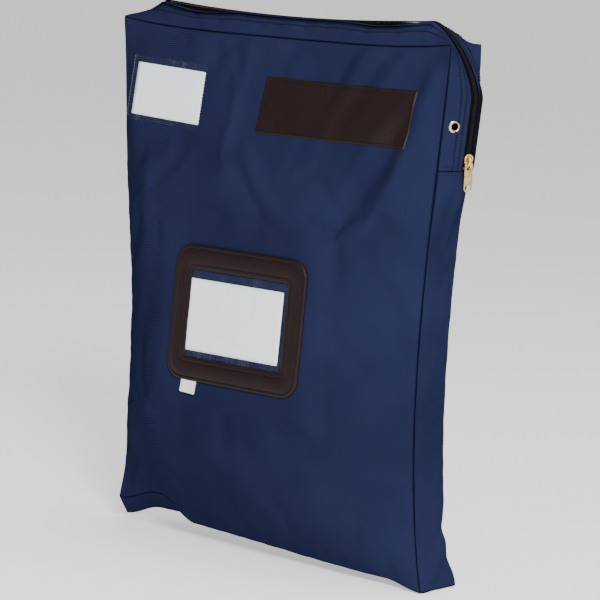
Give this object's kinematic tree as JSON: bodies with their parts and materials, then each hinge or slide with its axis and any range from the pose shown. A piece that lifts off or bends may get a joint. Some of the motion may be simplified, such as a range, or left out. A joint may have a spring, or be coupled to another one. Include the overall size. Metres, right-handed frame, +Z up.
{
  "type": "cash deposit bag",
  "caption": "Navy coated-nylon deposit bag with a gusset, zipped over the top and down one side, with a windowed card pocket and a plain patch.",
  "frame": {"origin": "bottom centre of the whole bag, on the surface it stands on", "axes": "+Z up, -Y the front with the card window, +X towards the side where the zip ends"},
  "size_m": [0.4245, 0.1614, 0.5608],
  "materials": {
    "nylon": "coated woven nylon, navy, slight sheen",
    "zip_tape": "woven tape, near black",
    "zip_coil": "moulded nylon coil",
    "brass": "polished pale brass",
    "leatherette": "dark brown leatherette, soft sheen",
    "clear_vinyl": "clear flexible vinyl",
    "card": "plain white card",
    "label_ribbon": "white satin ribbon",
    "binding": "woven binding tape"
  },
  "bodies": {
    "bag": {"front_panel": "nylon", "back_panel": "nylon", "left_gusset": "nylon", "right_gusset": "nylon", "bottom_gusset": "nylon", "front_zip_strip": "nylon", "back_zip_strip": "nylon", "front_zip_tape": "zip_tape", "back_zip_tape": "zip_tape", "front_zip_coil": "zip_coil", "back_zip_coil": "zip_coil", "zip_top_stops": "brass", "zip_bottom_stop": "brass", "eyelet": "brass", "eyelet_washer": "brass", "leather_patch": "leatherette", "window_frame": "leatherette", "window_film": "clear_vinyl", "card_pocket": "clear_vinyl", "label_tab": "label_ribbon", "front_seam_binding": "binding", "back_seam_binding": "binding"},
    "slider": {"zip_slider": "brass"},
    "pull": {"pull_tab": "brass"},
    "address_card": {"address_card": "card"},
    "deposit_card": {"deposit_card": "card"}
  },
  "joints": [
    {"name": "zip_slide", "type": "slide", "parent": "bag", "child": "slider", "axis": [0.0854, 0, 0.9963], "range_m": [0, 0.052]},
    {"name": "pull_swing", "type": "hinge", "parent": "slider", "child": "pull", "pos_m": [0.20827, 0.0072, 0.42644], "axis": [-0.5, -0.866, 0], "range_deg": [0, 135]},
    {"name": "address_card_slide", "type": "slide", "parent": "bag", "child": "address_card", "axis": [-0.9991, 0.0431, 0], "range_m": [0, 0.14]},
    {"name": "deposit_card_slide", "type": "slide", "parent": "bag", "child": "deposit_card", "axis": [0.014, 0.1142, 0.9934], "range_m": [0, 0.064]}
  ]
}
